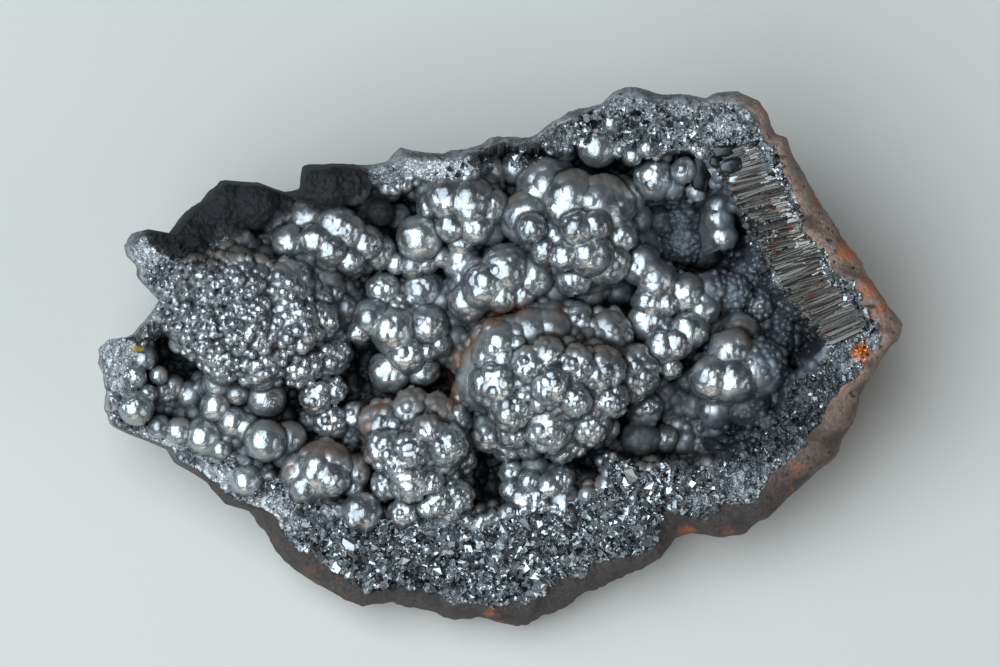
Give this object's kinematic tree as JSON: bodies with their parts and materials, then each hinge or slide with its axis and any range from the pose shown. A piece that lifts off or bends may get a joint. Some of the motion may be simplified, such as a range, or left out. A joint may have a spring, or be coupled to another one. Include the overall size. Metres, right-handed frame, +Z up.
{
  "type": "goethite mineral specimen",
  "caption": "Botryoidal goethite hand specimen: fused metallic grey round lumps in a broken hollow, with a granular rim and a brown rind.",
  "frame": {"origin": "on the ground under the middle of the specimen's bounding box", "axes": "+X to the right as the hollow face is looked at, +Y away from the front, +Z up; the face leans 18 degrees towards -Y"},
  "size_m": [0.1622, 0.106, 0.0519],
  "materials": {
    "goethite": "satin metallic grey, brown where weathered"
  },
  "bodies": {
    "root": {"goethite": "goethite"}
  },
  "joints": []
}
